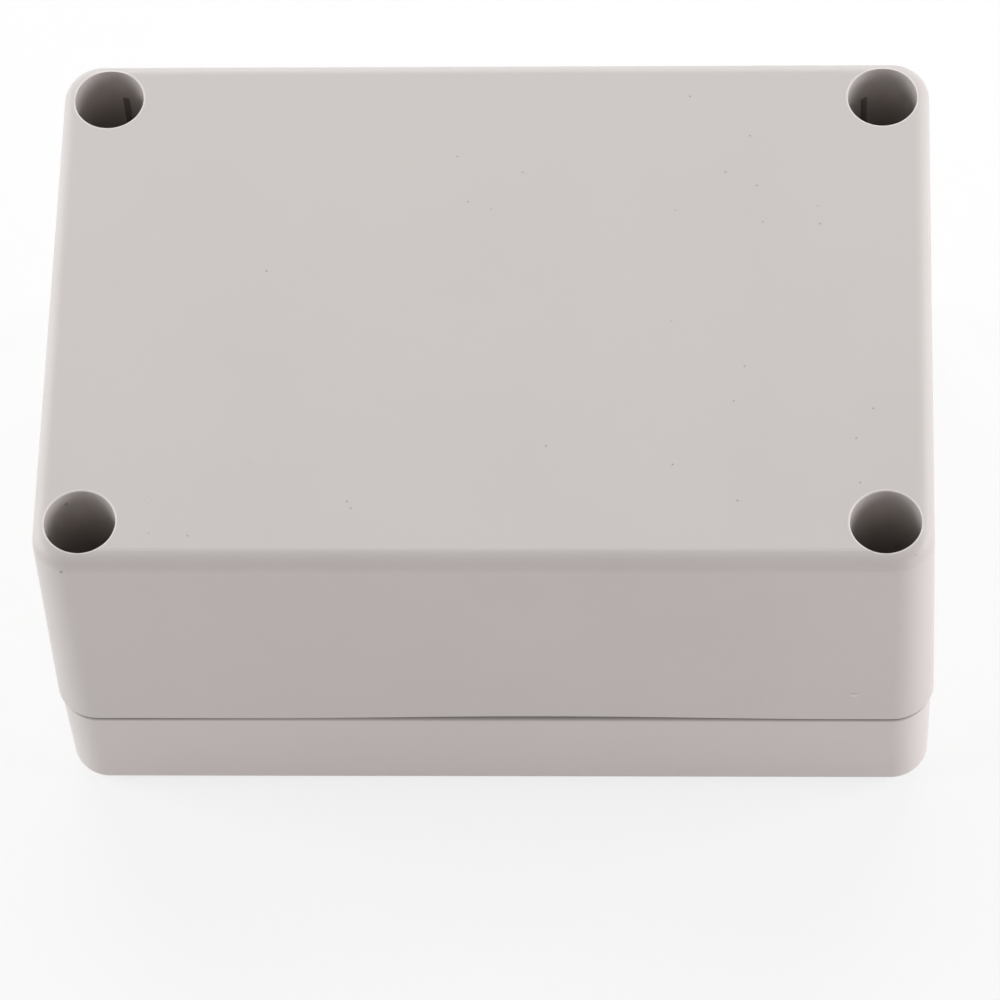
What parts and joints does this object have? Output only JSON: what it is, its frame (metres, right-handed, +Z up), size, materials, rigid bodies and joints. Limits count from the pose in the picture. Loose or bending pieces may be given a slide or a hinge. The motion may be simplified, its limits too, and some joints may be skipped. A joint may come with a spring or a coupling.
{
  "type": "plastic project box",
  "caption": "Rectangular electronics enclosure with rounded edges: a deep base and a shallow lid, sealed by a rubber strip and closed by screws down deep corner wells.",
  "frame": {"origin": "middle of the lid's outer face, on the surface that the closed box lies on", "axes": "+Z up, out of the base's large face; +X along the length; +Y along the width, towards the rear"},
  "size_m": [0.1, 0.068, 0.05],
  "materials": {
    "base_abs": "fine satin grain",
    "lid_abs": "fine satin grain",
    "rubber": "matt",
    "zinc_steel": "bright zinc plate"
  },
  "bodies": {
    "lid": {"lid": "lid_abs", "gasket": "rubber"},
    "base": {"base_shell": "base_abs"},
    "rear left screw": {"screw_rear_left": "zinc_steel"},
    "rear right screw": {"screw_rear_right": "zinc_steel"},
    "front left screw": {"screw_front_left": "zinc_steel"},
    "front right screw": {"screw_front_right": "zinc_steel"}
  },
  "joints": [
    {"name": "base_lift", "type": "slide", "parent": "lid", "child": "base", "axis": [0, 0, 1], "range_m": [0, 0.06]},
    {"name": "rear_left_draw", "type": "slide", "parent": "base", "child": "rear left screw", "axis": [0, 0, 1], "range_m": [0, 0.05]},
    {"name": "rear_right_draw", "type": "slide", "parent": "base", "child": "rear right screw", "axis": [0, 0, 1], "range_m": [0, 0.05]},
    {"name": "front_left_draw", "type": "slide", "parent": "base", "child": "front left screw", "axis": [0, 0, 1], "range_m": [0, 0.05]},
    {"name": "front_right_draw", "type": "slide", "parent": "base", "child": "front right screw", "axis": [0, 0, 1], "range_m": [0, 0.05]}
  ]
}
